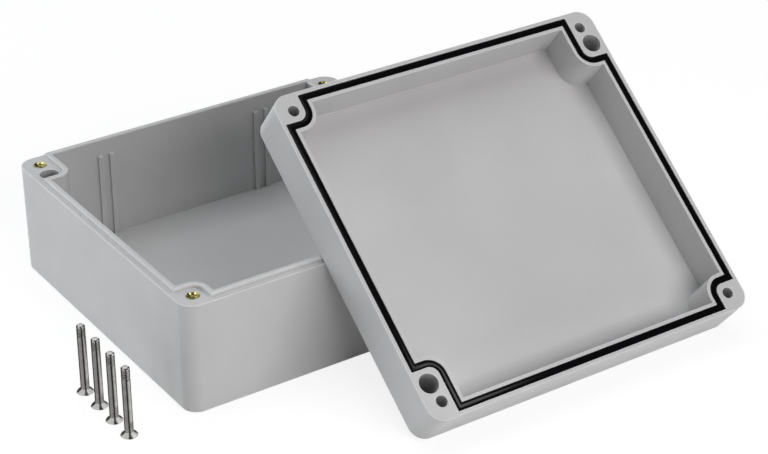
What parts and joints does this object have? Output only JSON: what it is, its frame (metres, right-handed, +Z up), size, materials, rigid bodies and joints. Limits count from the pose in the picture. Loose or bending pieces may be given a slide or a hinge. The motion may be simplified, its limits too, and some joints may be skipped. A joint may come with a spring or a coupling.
{
  "type": "sealed junction box",
  "caption": "Open rectangular moulded junction box: base with tongue rim and brass inserts, lid with gasket groove leaning on its front rim, and loose countersunk lid screws.",
  "frame": {"origin": "middle of the underside of the base, on the ground", "axes": "+X along the base's width to the right, +Y to the base's back wall, +Z up out of the open base"},
  "size_m": [0.2523, 0.2239, 0.1062],
  "materials": {
    "housing": "satin light grey, fine moulded grain",
    "gasket": "smooth black elastomer",
    "insert": "turned",
    "screw": "bright stainless"
  },
  "bodies": {
    "root": {"base": "housing", "lid": "housing", "gasket": "gasket", "insert_front_left": "insert", "insert_front_right": "insert", "insert_back_left": "insert", "insert_back_right": "insert", "screw_1": "screw", "screw_2": "screw", "screw_3": "screw", "screw_4": "screw"}
  },
  "joints": []
}
